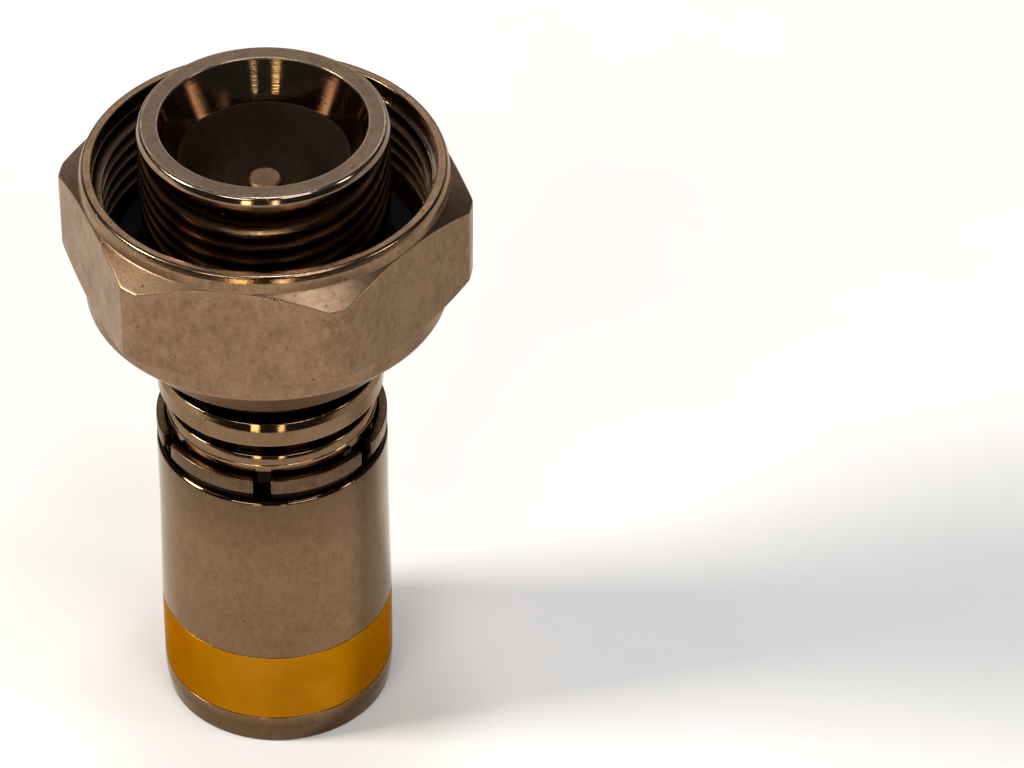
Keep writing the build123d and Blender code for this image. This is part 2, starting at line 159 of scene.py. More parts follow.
def add(tree, kind, inputs=None, **settings):
    """Adds a node. `inputs` gives its sockets a number, a colour or another node's output."""
    node = tree.nodes.new(kind)
    for key, value in settings.items():
        setattr(node, key, value)
    for key, value in (inputs or {}).items():
        if isinstance(value, bpy.types.NodeSocket):
            tree.links.new(value, node.inputs[key])
        else:
            node.inputs[key].default_value = value
    return node


def new_finish(name, **constants):
    """New material: its node tree, its Principled shader with constants set, and its coordinates."""
    material = bpy.data.materials.new(name)
    material.use_nodes = True
    tree = material.node_tree
    shader = tree.nodes["Principled BSDF"]
    for socket, value in constants.items():
        shader.inputs[socket.replace("_", " ")].default_value = value
    spot = add(tree, "ShaderNodeTexCoord").outputs["Object"]
    return material, tree, shader, spot


PIT_COLOUR = "#2e2218"
# painted shade: the near-black that recesses and faces under other parts are darkened to
PAINTED_SHADE_COLOUR = "#120c08"
GLANCING_COLOUR = "#f6eee4"
TOOLED_ROUGHNESS = 0.32   # what the tool's unpolished finish adds
RUBBED_ROUGHNESS = 0.12   # where an edge is rubbed smooth
RING_DEPTH = 0.003


def handled_metal(name, colour, tarnish, worn, roughness, smudge, mottle=0.3, grain_depth=0.0015,
                  pitted=0.0, wear_share=0.3):
    """Plated or bare turned metal, one warm tone that use has made uneven.

    Rings left by the lathe show faintly through it, handling dulls it in patches, tarnish
    mottles it, pits show as dark specks, edges are rubbed smooth and lighter, and painted shade
    darkens recesses and faces that lie under other parts. The mesh's wear_and_painted_light
    attribute is 1 on a rubbed edge, higher on a thread's crest, and -1 under painted shade; its
    satin attribute is 1 where the tool's finish is unpolished and below 0 where rubbing has polished it."""
    material, tree, shader, spot = new_finish(name, Metallic=1.0,
                                              Specular_Tint=linear(GLANCING_COLOUR))
    # lathe rings: 0.05 mm apart on the real piece, drawn 0.16 mm apart so that they show
    along = add(tree, "ShaderNodeMapping", {"Vector": spot, "Scale": (0.012, 0.012, 1)})
    rings = add(tree, "ShaderNodeTexNoise", {"Vector": along.outputs[0], "Scale": 1 / (0.16 * MM),
                                             "Detail": 3.0, "Roughness": 0.6})
    # smudges: patches some 2.5 mm wide
    smudges = add(tree, "ShaderNodeTexNoise", {"Vector": spot, "Scale": 1 / (2.5 * MM),
                                               "Detail": 5.0, "Roughness": 0.62})
    # tarnish: flecks about 0.3 mm wide, drawn out a little along the axis
    upright = add(tree, "ShaderNodeMapping", {"Vector": spot, "Scale": (1, 1, 0.6)})
    flecks = add(tree, "ShaderNodeTexNoise", {"Vector": upright.outputs[0], "Scale": 1 / (0.5 * MM),
                                              "Detail": 6.0, "Roughness": 0.8})
    # grain: 0.12 mm, as coarse as blasted or worn plating shows
    grain = add(tree, "ShaderNodeTexNoise", {"Vector": spot, "Scale": 1 / (0.12 * MM),
                                             "Detail": 2.0, "Roughness": 0.7})
    # pits: about 0.15 mm wide
    pit_field = add(tree, "ShaderNodeTexNoise", {"Vector": spot, "Scale": 1 / (0.3 * MM),
                                                 "Detail": 2.0, "Roughness": 0.6})
    pits = add(tree, "ShaderNodeMapRange", {"Value": pit_field.outputs[0], "From Min": 0.74 - pitted,
                                            "From Max": 0.8 - pitted})
    speckle = add(tree, "ShaderNodeMath", {0: grain.outputs[0], 1: 0.45, 2: flecks.outputs[0]},
                  operation="MULTIPLY_ADD")
    patchy = add(tree, "ShaderNodeMath", {0: smudges.outputs[0], 1: 0.5, 2: speckle.outputs[0]},
                 operation="MULTIPLY_ADD")
    fleck = add(tree, "ShaderNodeMapRange", {"Value": patchy.outputs[0], "From Min": 0.86,
                                             "From Max": 1.16, "To Max": mottle})
    wear_and_light = add(tree, "ShaderNodeAttribute", attribute_name="wear_and_painted_light")
    rub = add(tree, "ShaderNodeMath", {0: wear_and_light.outputs["Fac"], 1: flecks.outputs[0]},
              operation="MULTIPLY")
    rubbing = add(tree, "ShaderNodeMapRange", {"Value": rub.outputs[0], "From Min": 0.3,
                                               "From Max": 0.62})
    bright = add(tree, "ShaderNodeMath", {0: rubbing.outputs[0], 1: wear_share}, operation="MULTIPLY")
    # painted shade, mixed in where the wear_and_painted_light attribute is below 0
    painted_shade = add(tree, "ShaderNodeMapRange", {"Value": wear_and_light.outputs["Fac"], "From Min": 0.0,
                                             "From Max": -1.0})
    base = add(tree, "ShaderNodeMix", {0: fleck.outputs[0], 6: linear(colour), 7: linear(tarnish)},
               data_type="RGBA")
    specked = add(tree, "ShaderNodeMix", {0: pits.outputs[0], 6: base.outputs[2],
                                          7: linear(PIT_COLOUR)}, data_type="RGBA")
    rubbed = add(tree, "ShaderNodeMix", {0: bright.outputs[0], 6: specked.outputs[2],
                                         7: linear(worn)}, data_type="RGBA")
    with_painted_shade = add(tree, "ShaderNodeMix", {0: painted_shade.outputs[0], 6: rubbed.outputs[2],
                                        7: linear(PAINTED_SHADE_COLOUR)}, data_type="RGBA")
    tree.links.new(with_painted_shade.outputs[2], shader.inputs["Base Color"])
    rough = add(tree, "ShaderNodeMapRange", {"Value": smudges.outputs[0], "From Min": 0.3,
                                             "From Max": 0.75, "To Min": roughness,
                                             "To Max": roughness + smudge})
    rougher = add(tree, "ShaderNodeMath", {0: fleck.outputs[0], 1: 0.06, 2: rough.outputs[0]},
                  operation="MULTIPLY_ADD")
    satin = add(tree, "ShaderNodeAttribute", attribute_name="satin")
    unpolished = add(tree, "ShaderNodeMath", {0: satin.outputs["Fac"], 1: TOOLED_ROUGHNESS,
                                              2: rougher.outputs[0]}, operation="MULTIPLY_ADD")
    rubbed_rough = add(tree, "ShaderNodeMix", {0: rubbing.outputs[0], 2: unpolished.outputs[0],
                                               3: RUBBED_ROUGHNESS}, data_type="FLOAT")
    tree.links.new(rubbed_rough.outputs[0], shader.inputs["Roughness"])
    ring_bump = add(tree, "ShaderNodeBump", {"Height": rings.outputs[0], "Distance": RING_DEPTH * MM})
    grain_bump = add(tree, "ShaderNodeBump", {"Height": grain.outputs[0], "Distance": grain_depth * MM,
                                              "Normal": ring_bump.outputs[0]})
    pit_bump = add(tree, "ShaderNodeBump", {"Height": pits.outputs[0], "Distance": 0.01 * MM,
                                            "Normal": grain_bump.outputs[0]}, invert=True)
    tree.links.new(pit_bump.outputs[0], shader.inputs["Normal"])
    return material


# Polished nickel: a mirror, faintly ringed, dulled by handling; its warm brown, darker than
# bare nickel, is a painted reflection of a warm, dim room
polished_nickel = handled_metal("polished nickel plate", colour="#7e634a", tarnish="#5f4a38",
                                worn="#c0a684", roughness=0.03, smudge=0.05, mottle=0.6, pitted=0.04)

sleeve_r, sleeve_low, sleeve_high = extent("compression_sleeve")
band_r, band_low, band_high = extent("size_band")
# roundings: a seat's corner, a turned edge, a bevel's rear and front, a soft and a broken edge
SEAT_EDGE = 0.03
TURNED_EDGE = 0.05
BEVEL_EDGE = 0.06
BEVEL_FRONT = 0.16
SOFT_EDGE = 0.1
BROKEN_EDGE = 0.12
PAINTED_SHADE = -1.0              # full painted shade, where light is shut out
# painted shade at about a third of full strength
THIN_PAINTED_SHADE = -0.35
OVER = 0.1                # how far a marked strip reaches past the surface
entry_r = 5.45
bore_r = 6.5
skirt_r = 6.8
ENTRY_CHAMFER = 0.3
LIP_LENGTH = 1.8
COLLET_SEAT = 2.5
SLEEVE_TAPER_LENGTH = 1.2
SLEEVE_TAPER_DROP = 0.15
SLEEVE_CHAMFER = 0.15
SWELL = 0.12
SWELL_LENGTH = 7.5
BAND_THICKNESS = 0.1
sleeve_top_r = sleeve_r - SWELL

sleeve = turned("compression_sleeve_body", [
    (sleeve_r - SLEEVE_TAPER_DROP, sleeve_low, 0.14),
    (sleeve_r, sleeve_low + SLEEVE_TAPER_LENGTH, TURNED_EDGE),
    (sleeve_r, band_low, SEAT_EDGE),
    (sleeve_r - BAND_THICKNESS, band_low, SEAT_EDGE),
    (sleeve_r - BAND_THICKNESS, band_high, SEAT_EDGE),
    (sleeve_r, band_high, SEAT_EDGE),
    (sleeve_top_r, band_high + SWELL_LENGTH, 0.4),
    (sleeve_top_r, sleeve_high - SLEEVE_CHAMFER, BROKEN_EDGE),
    (sleeve_top_r - SLEEVE_CHAMFER, sleeve_high, BROKEN_EDGE),
    (skirt_r, sleeve_high, SEAT_EDGE),
    (skirt_r, sleeve_high - COLLET_SEAT, SEAT_EDGE),
    (bore_r, sleeve_high - COLLET_SEAT, SEAT_EDGE),
    (bore_r, sleeve_low + LIP_LENGTH, TURNED_EDGE),
    (entry_r, sleeve_low + LIP_LENGTH, SOFT_EDGE),
    (entry_r, sleeve_low + ENTRY_CHAMFER, BEVEL_EDGE),
    (entry_r + ENTRY_CHAMFER, sleeve_low, BEVEL_EDGE),
])
# both ends are painted a little darker, over 0.2 mm more than the chamfer and the taper:
# painted shade near the floor at the foot, and painted shade that dims the chamfer's reflection at the top
mark(sleeve, "wear_and_painted_light", THIN_PAINTED_SHADE, sleeve_r + OVER, sleeve_high - SLEEVE_CHAMFER - 0.2, sleeve_high + OVER)
mark(sleeve, "wear_and_painted_light", THIN_PAINTED_SHADE, sleeve_r + OVER, sleeve_low - OVER,
     sleeve_low + SLEEVE_TAPER_LENGTH + 0.2)
place(sleeve, "sleeve", polished_nickel, "polished_nickel", "compression_sleeve")

# ---- Size band -------------------------------------------------------------------------
# The coloured band that tells the cable size. Transparent yellow lacquer, rolled into the seat
# on the plated brass and baked; it pulls back a little from the seat's two edges.


def yellow_lacquer():
    """Transparent yellow lacquer baked on nickel: the metal under it tints what it mirrors."""
    material, tree, shader, spot = new_finish("yellow stoving lacquer on nickel", Metallic=1.0,
                                              Specular_Tint=linear("#e0bb74"))
    # film thickness: soft patches 3 mm wide, and orange peel 0.35 mm wide
    film = add(tree, "ShaderNodeTexNoise", {"Vector": spot, "Scale": 1 / (3 * MM), "Detail": 4.0})
    peel = add(tree, "ShaderNodeTexNoise", {"Vector": spot, "Scale": 1 / (0.35 * MM), "Detail": 2.0})
    thick = add(tree, "ShaderNodeMapRange", {"Value": film.outputs[0], "From Min": 0.35,
                                             "From Max": 0.65})
    colour = add(tree, "ShaderNodeMix", {0: thick.outputs[0], 6: linear("#ae7416"),
                                         7: linear("#a26a0c")}, data_type="RGBA")
    tree.links.new(colour.outputs[2], shader.inputs["Base Color"])
    rough = add(tree, "ShaderNodeMapRange", {"Value": film.outputs[0], "To Min": 0.2, "To Max": 0.36})
    tree.links.new(rough.outputs[0], shader.inputs["Roughness"])
    bump = add(tree, "ShaderNodeBump", {"Height": peel.outputs[0], "Distance": 0.004 * MM})
    tree.links.new(bump.outputs[0], shader.inputs["Normal"])
    return material


FILM_PULL = 0.05          # bare strip between the lacquer and the seat's edge
FILM_FOOT = 0.01          # how far the film's inside stays off the seat
band = turned("size_band_lacquer", [
    (band_r, band_low + FILM_PULL, BEVEL_EDGE),
    (band_r, band_high - FILM_PULL, BEVEL_EDGE),
    (band_r - BAND_THICKNESS + FILM_FOOT, band_high - FILM_PULL, 0.01),
    (band_r - BAND_THICKNESS + FILM_FOOT, band_low + FILM_PULL, 0.01),
])
place(band, "sleeve", yellow_lacquer(), "yellow_lacquer", "size_band")

# ---- Push washer, cable seal and grip ferrule ------------------------------------------
# What the sleeve pushes against the cable: a brass washer, a rubber seal and a slit plastic
# ferrule. They lie inside the sleeve and show only through its rear opening.


def dress(material, *nodes):
    """Gives CAD nodes whose shape stays a material."""
    for node in nodes:
        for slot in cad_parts[node].material_slots:
            slot.material = material


def plain_brass():
    """Turned brass, unplated: yellow metal with tool rings and a thin brown tarnish."""
    material, tree, shader, spot = new_finish("turned brass", Metallic=1.0)
    along = add(tree, "ShaderNodeMapping", {"Vector": spot, "Scale": (0.02, 0.02, 1)})
    rings = add(tree, "ShaderNodeTexNoise", {"Vector": along.outputs[0], "Scale": 1 / (0.12 * MM),
                                             "Detail": 3.0})
    tarnish = add(tree, "ShaderNodeTexNoise", {"Vector": spot, "Scale": 1 / (1.5 * MM), "Detail": 4.0})
    tone = add(tree, "ShaderNodeMapRange", {"Value": tarnish.outputs[0], "From Min": 0.4,
                                            "From Max": 0.7})
    colour = add(tree, "ShaderNodeMix", {0: tone.outputs[0], 6: linear("#c9a45a"),
                                         7: linear("#8d6a34")}, data_type="RGBA")
    tree.links.new(colour.outputs[2], shader.inputs["Base Color"])
    rough = add(tree, "ShaderNodeMapRange", {"Value": tarnish.outputs[0], "To Min": 0.2, "To Max": 0.5})
    tree.links.new(rough.outputs[0], shader.inputs["Roughness"])
    bump = add(tree, "ShaderNodeBump", {"Height": rings.outputs[0], "Distance": 0.004 * MM})
    tree.links.new(bump.outputs[0], shader.inputs["Normal"])
    return material


def moulded(name, colour, shade, roughness, grain_size, gloss=0.5):
    """Moulded rubber or plastic: one colour through, a fine matt grain and slightly darker patches."""
    material, tree, shader, spot = new_finish(name, Metallic=0.0, IOR=1.5, Specular_IOR_Level=gloss)
    patches = add(tree, "ShaderNodeTexNoise", {"Vector": spot, "Scale": 1 / (1.5 * MM), "Detail": 4.0})
    grain = add(tree, "ShaderNodeTexNoise", {"Vector": spot, "Scale": 1 / (grain_size * MM),
                                             "Detail": 2.0})
    tone = add(tree, "ShaderNodeMapRange", {"Value": patches.outputs[0], "From Min": 0.3,
                                            "From Max": 0.7})
    mixed = add(tree, "ShaderNodeMix", {0: tone.outputs[0], 6: linear(colour), 7: linear(shade)},
                data_type="RGBA")
    tree.links.new(mixed.outputs[2], shader.inputs["Base Color"])
    rough = add(tree, "ShaderNodeMapRange", {"Value": grain.outputs[0], "To Min": roughness - 0.1,
                                             "To Max": roughness + 0.1})
    tree.links.new(rough.outputs[0], shader.inputs["Roughness"])
    bump = add(tree, "ShaderNodeBump", {"Height": grain.outputs[0], "Distance": 0.01 * MM})
    tree.links.new(bump.outputs[0], shader.inputs["Normal"])
    return material


turned_brass = plain_brass()
# Nitrile rubber: black and dull. Acetal: white and waxy
black_rubber = moulded("moulded nitrile rubber", colour="#0d0c0b", shade="#090807", roughness=0.8,
                       grain_size=0.12, gloss=0.2)
white_acetal = moulded("moulded acetal", colour="#dcd8cc", shade="#cdc8ba", roughness=0.4,
                       grain_size=0.2)
dress(turned_brass, "push_washer")
dress(black_rubber, "cable_seal", "sleeve_o_ring")
dress(white_acetal, "grip_ferrule")

# ---- Lock collet -----------------------------------------------------------------------
# The spring ring at the sleeve's front: a skirt pressed into the sleeve and six heads that
# close on the cable tube. Turned brass, sawn with six slots, then plated with the sleeve.


def slotted_ring(name, lower, upper, slots, slot_width, first_slot, columns_per_head=20,
                 columns_per_slot=4):
    """Ring with slots that are open at the top and have parallel sides.

    `lower` is the outline (radius, height) from the slots' floor inside, down, and up to the floor
    outside; `upper` goes on from there, over the top and back inside. A slot's side at radius r
    stands asin(width / 2r) from the slot's middle; between two slots the angles are spread evenly.
    The slots' floors join the two ends of `lower`, and one flat face closes each side of a slot.
    Painted shade lies on `lower` and under the heads, and the rest of the heads is worn."""
    outline = np.array(lower + upper, float)
    side = np.arcsin(slot_width / 2 / outline[:, 0])
    pitch = 2 * math.pi / slots
    in_slot = np.linspace(-1, 1, columns_per_slot + 1) * side[:, None]
    across = np.linspace(0, 1, columns_per_head + 1)[1:-1]
    in_head = side[:, None] + across * (pitch - 2 * side[:, None])
    group = np.concatenate([in_slot, in_head], 1)
    angles = np.concatenate([group + first_slot + step * pitch for step in range(slots)], 1)
    radius, height = outline[:, :1], outline[:, 1:]
    points = np.stack([radius * np.cos(angles), radius * np.sin(angles), height + 0 * angles], -1) * MM
    rows, columns = angles.shape
    number = np.arange(rows * columns).reshape(rows, columns)
    right = np.roll(number, -1, 1)
    in_cut = np.arange(columns) % group.shape[1] < columns_per_slot
    low = len(lower)
    quads = np.stack([number[:low - 1], right[:low - 1], right[1:low], number[1:low]], -1).reshape(-1, 4)
    floors = np.stack([number[low - 1], right[low - 1], right[0], number[0]], -1)[in_cut]
    above = np.concatenate([number[low - 1:], number[:1]])
    above_right = np.concatenate([right[low - 1:], right[:1]])
    heads = np.stack([above[:-1], above_right[:-1], above_right[1:], above[1:]], -1)[:, ~in_cut]
    starts = np.flatnonzero(in_cut & ~np.roll(in_cut, 1))
    ends = np.flatnonzero(~in_cut & np.roll(in_cut, 1))
    sides = [above[::-1, c].tolist() for c in starts] + [above[:, c].tolist() for c in ends]
    faces = quads.tolist() + floors.tolist() + heads.reshape(-1, 4).tolist() + sides
    mesh = bpy.data.meshes.new(name)
    mesh.from_pydata(points.reshape(-1, 3).tolist(), [], faces)
    # painted shade on the skirt, the slots' floors and the heads' undersides; real wear, 0.5, on the rest
    # of the heads
    worn = np.where(number > number[low, -1], 0.5, PAINTED_SHADE)
    mesh.attributes.new("wear_and_painted_light", "FLOAT", "POINT").data.foreach_set("value", worn.ravel())
    return finished(name, mesh)


head_r, skirt_low, head_high = extent("lock_collet")
HEAD_LENGTH = 1.05
SLOT_COUNT = 6
SLOT_WIDTH = 1.05
SLOT_TURN = -2.6
SLOT_FLOOR_DROP = 0.3     # how far the slots go down into the sleeve
PRESS_GAP = 0.02
HEAD_ROUND = 0.1
slot_floor = sleeve_high - SLOT_FLOOR_DROP
pressed_r = skirt_r - PRESS_GAP
head_low = head_high - HEAD_LENGTH
collet = slotted_ring(
    "lock_collet_heads",
    [(bore_r, slot_floor), (bore_r, skirt_low), (pressed_r, skirt_low), (pressed_r, slot_floor)],
    [(pressed_r, head_low), (head_r, head_low), (head_r, head_high), (bore_r, head_high)],
    SLOT_COUNT, SLOT_WIDTH, math.radians(SLOT_TURN - 90))
round_over = collet.modifiers.new("rounded edges", "BEVEL")
round_over.width = HEAD_ROUND * MM
round_over.segments = 4
round_over.limit_method = "ANGLE"
round_over.angle_limit = math.radians(40)
# Jaw nickel: duller than the sleeve's, and painted darker, as painted shade from the gap between the heads
# and the sleeve
shaded_jaw_nickel = handled_metal("nickel plate on the jaws, painted darker as shade", colour="#66503c", tarnish="#463628",
                           worn="#b09474", roughness=0.2, smudge=0.15, mottle=0.7, pitted=0.04)
place(collet, "sleeve", shaded_jaw_nickel, "polished_nickel", "lock_collet")

# ---- Rear body -------------------------------------------------------------------------
# The cable tube that the sleeve slides on, with its flared mouth, a relief behind the collet's
# heads, a fine line, a groove, a shoulder and the front body's socket. Turned brass, plated.
tube_r = 6.45
tube_bore_r = 5.65
groove_r = 5.9
spigot_r = 5.3
chamber_r = 4.4
GROOVE_WIDTH = 1.2
SHOULDER_WIDTH = 1.6
LINE_AT = 0.62
LINE_WIDTH = 0.14
LINE_DEPTH = 0.06
RING_SEAT_UP = 5.0
RING_SEAT_HALF = 0.31
RING_SEAT_R = 5.99
FLARE_LENGTH = 3.0
FLARE_WALL = 0.2
TUBE_BEVEL = 0.1
TUBE_BEVEL_LENGTH = 0.25
SHOULDER_BEVEL = 0.21
SHOULDER_BEVEL_LENGTH = 0.52
RELIEF_DEPTH = 0.4
RELIEF_LENGTH = 3.0
RELIEF_RISE = 0.2
SOCKET_DEPTH = 3.3
WEB_THICKNESS = 1.0
shoulder_r, tube_low, neck_low = extent("rear_body")
shoulder_low = neck_low - SHOULDER_WIDTH
tube_high = shoulder_low - GROOVE_WIDTH
socket_low = neck_low - SOCKET_DEPTH
web_low = socket_low - WEB_THICKNESS
relief_high = head_high + RELIEF_RISE
relief_low = relief_high - RELIEF_LENGTH
rear = turned("rear_body_tube", [
    (tube_r, tube_low, TURNED_EDGE),
    (tube_r, tube_low + RING_SEAT_UP - RING_SEAT_HALF, SEAT_EDGE),
    (RING_SEAT_R, tube_low + RING_SEAT_UP - RING_SEAT_HALF, SEAT_EDGE),
    (RING_SEAT_R, tube_low + RING_SEAT_UP + RING_SEAT_HALF, SEAT_EDGE),
    (tube_r, tube_low + RING_SEAT_UP + RING_SEAT_HALF, SEAT_EDGE),
    (tube_r, relief_low, TURNED_EDGE),
    (tube_r - RELIEF_DEPTH, relief_low, TURNED_EDGE),
    (tube_r - RELIEF_DEPTH, relief_high, TURNED_EDGE),
    (tube_r, relief_high, BEVEL_EDGE),
    (tube_r, tube_high - LINE_AT - LINE_WIDTH, SEAT_EDGE),
    (tube_r - LINE_DEPTH, tube_high - LINE_AT - LINE_WIDTH / 2, SEAT_EDGE),
    (tube_r, tube_high - LINE_AT, SEAT_EDGE),
    (tube_r, tube_high - TUBE_BEVEL_LENGTH, SEAT_EDGE),
    (tube_r - TUBE_BEVEL, tube_high, BEVEL_EDGE),
    (groove_r, tube_high, BEVEL_EDGE),
    (groove_r, shoulder_low, BEVEL_EDGE),
    (shoulder_r, shoulder_low, 0.08),
    (shoulder_r, neck_low - SHOULDER_BEVEL_LENGTH, 0.04),
    (shoulder_r - SHOULDER_BEVEL, neck_low, BEVEL_EDGE),
    (spigot_r + PRESS_GAP, neck_low, SEAT_EDGE),
    (spigot_r + PRESS_GAP, socket_low, SEAT_EDGE),
    (chamber_r, socket_low, TURNED_EDGE),
    (chamber_r, web_low, TURNED_EDGE),
    (tube_bore_r, web_low, TURNED_EDGE),
    (tube_bore_r, tube_low + FLARE_LENGTH, TURNED_EDGE),
    (tube_r - FLARE_WALL, tube_low, TURNED_EDGE),
])
# painted shade in the relief behind the slots, in the groove, and on the shoulder's front face under the
# nut
mark(rear, "wear_and_painted_light", PAINTED_SHADE, tube_r + OVER, relief_low, relief_high + 0.12)
mark(rear, "wear_and_painted_light", PAINTED_SHADE, groove_r + OVER, tube_high - OVER, shoulder_low + OVER)
mark(rear, "wear_and_painted_light", PAINTED_SHADE, shoulder_r - SHOULDER_BEVEL - BEVEL_EDGE, neck_low - 0.05, neck_low + 0.05)
place(rear, "core", polished_nickel, "polished_nickel", "rear_body")

# ---- Inner post ------------------------------------------------------------------------
# The thin barbed tube that goes under the cable's braid. Turned brass, left unplated.
dress(turned_brass, "inner_post")

# ---- Front body ------------------------------------------------------------------------
# The contact tube with its conical mouth, the flange that the nut pulls on, the neck that the
# nut turns on and the spigot that is pressed into the rear body. Turned brass, plated.
contact_r = 5.075
neck_r = 6.15
rim_r = 7.45
rim_bore_r = 6.2
CONE_DEPTH = 2.5
RIM_BEVEL = 0.17
RIM_BEVEL_LENGTH = 0.42
FLANGE_THICKNESS = 1.6
SNAP_DEPTH = 0.4
GASKET_LAND = 0.25
flange_r, spigot_low, rim_high = extent("front_body")
gasket_low, gasket_high = extent("face_gasket")[1:]
snap_low, snap_high = extent("retaining_ring")[1:]
insulator_low = extent("front_insulator")[1]
flange_low = gasket_low - FLANGE_THICKNESS
# Handled nickel: the sleeve's mirror, paler and worn further at its edges; its brown, darker
# than bare nickel, is a painted reflection of a warm, dim room
worn_nickel = handled_metal("handled nickel plate on the tube", colour="#88725e", tarnish="#5e4b3c",
                            worn="#d0bfa8", roughness=0.05, smudge=0.06, mottle=0.6, pitted=0.04,
                            wear_share=0.4)
front = turned("front_body_tube", [
    (spigot_r, spigot_low, BROKEN_EDGE),
    (spigot_r, neck_low, SEAT_EDGE),
    (neck_r, neck_low, TURNED_EDGE),
    (neck_r, snap_low, SEAT_EDGE),
    (neck_r - SNAP_DEPTH, snap_low, SEAT_EDGE),
    (neck_r - SNAP_DEPTH, snap_high, SEAT_EDGE),
    (neck_r, snap_high, SEAT_EDGE),
    (neck_r, flange_low, SEAT_EDGE),
    (flange_r, flange_low, TURNED_EDGE),
    (flange_r, gasket_low, SOFT_EDGE),
    (rim_r + GASKET_LAND, gasket_low, SEAT_EDGE),
    (rim_r + GASKET_LAND, gasket_high, TURNED_EDGE),
    (rim_r, gasket_high, TURNED_EDGE),
    (rim_r, rim_high - RIM_BEVEL_LENGTH, 0.04),
    (rim_r - RIM_BEVEL, rim_high, BEVEL_FRONT),
    (rim_bore_r, rim_high, TURNED_EDGE),
    (contact_r, rim_high - CONE_DEPTH, BEVEL_EDGE),
    (contact_r, insulator_low, SEAT_EDGE),
    (chamber_r, insulator_low, SEAT_EDGE),
    (chamber_r, spigot_low, TURNED_EDGE),
])
# painted shade on the neck under the nut; the bore and the rim's face are as the tool left them
mark(front, "wear_and_painted_light", PAINTED_SHADE, neck_r + OVER, neck_low, snap_low)
mark(front, "satin", 1.0, contact_r + OVER, insulator_low - OVER, rim_high - CONE_DEPTH + 0.05)
mark(front, "satin", 1.0, rim_r - 0.05, rim_high - 0.06, rim_high + OVER)
place(front, "core", worn_nickel, "polished_nickel", "front_body")

# ---- Gasket, slip washer, retaining ring and hub seal ----------------------------------
# What lies between the front body and the nut: a rubber face gasket, a brass washer that the
# nut pulls on, a bronze spring ring that holds the nut, and a rubber ring that seals its hub.
# Spring bronze: a reddish drawn strip with a dull surface
spring_bronze = handled_metal("phosphor bronze spring strip", colour="#a5744a", tarnish="#835633",
                              worn="#c99a6c", roughness=0.25, smudge=0.15)
dress(black_rubber, "face_gasket", "hub_seal")
dress(turned_brass, "slip_washer")
dress(spring_bronze, "retaining_ring")

# ---- Coupling nut ----------------------------------------------------------------------
# The captive nut that draws the plug onto its port. Machined from hexagonal brass bar whose
# corners were turned down first, chamfered to a round collar at each end, and satin plated.
# Satin nickel: plated over a milled and blasted surface, so that it blurs what it mirrors;
# its brown, darker than bare nickel, is a painted reflection of a warm, dim room
satin_nickel = handled_metal("satin nickel plate", colour="#8c7057", tarnish="#66503d", worn="#dccdb6",
                             roughness=0.26, smudge=0.12, mottle=0.8, grain_depth=0.006, pitted=0.05,
                             wear_share=0.6)
FLAT_R = 11.0
CORNER_R = 12.35
NUT_TURN = 52.6
REAR_COLLAR_R = 10.9
FRONT_COLLAR_R = 10.95
HUB_R = 7.85
POCKET_R = 7.3
POCKET_DEPTH = 1.3
WEB = 2.2
CONE_LENGTH = 3.5
REAR_COLLAR = 1.2
FRONT_COLLAR = 1.1
CHAMFER_ANGLE = 32.0
LIP_BEVEL = 0.18
LIP_BEVEL_LENGTH = 0.44
MOUTH_R = 10.2
MOUTH_DEPTH = 1.0
THREAD_MAJOR_R = 10.15
THREAD_DEPTH = 0.55
THREAD_PITCH = 1.0
THREAD_FADE = 0.5
THREAD_ROWS_PER_PITCH = 20
THREAD_START = 0.05
THREAD_PAST_GASKET = 0.2
SEAL_SEAT_R = 6.95
SEAL_SEAT_HALF = 0.49
RUN_GAP = 0.05
CORNER_BLEND = 0.05       # how softly a flat runs into a turned corner
EDGE_WEAR = 0.6
web_bore_r = neck_r + RUN_GAP
hub_low, mouth_high = extent("coupling_nut")[1:]
cone_high = hub_low + CONE_LENGTH
flats_low = cone_high + REAR_COLLAR
flats_high = mouth_high - FRONT_COLLAR
web_low = hub_low + POCKET_DEPTH
web_high = web_low + WEB
seal_middle = (web_low + web_high) / 2


def hexagon_angles(half_flat, per_flat=20, per_corner=8):
    """Angles round the nut, packed on both sides of the twelve upright edges.

    A flat reaches `half_flat` to each side of its middle and a turned corner the rest of
    30 degrees. Inside each, the angle is its half width times sin(u pi / 2), u from -1 to 1."""
    half_corner = math.pi / 6 - half_flat
    over_flat = half_flat * np.sin(np.linspace(-1, 1, per_flat + 1)[:-1] * math.pi / 2)
    over_corner = math.pi / 6 + half_corner * np.sin(np.linspace(-1, 1, per_corner + 1)[:-1] * math.pi / 2)
    side = np.concatenate([over_flat, over_corner])
    first = math.radians(NUT_TURN + 30)
    return np.concatenate([side + first + step * math.pi / 3 for step in range(6)]), np.tile(side, 6)


def smooth_least(a, b, blend):
    """Lesser of a and b, rounded where they cross: their mean less sqrt((a - b)^2 + blend^2) / 2."""
    return (a + b) / 2 - np.sqrt((a - b) ** 2 + blend ** 2) / 2


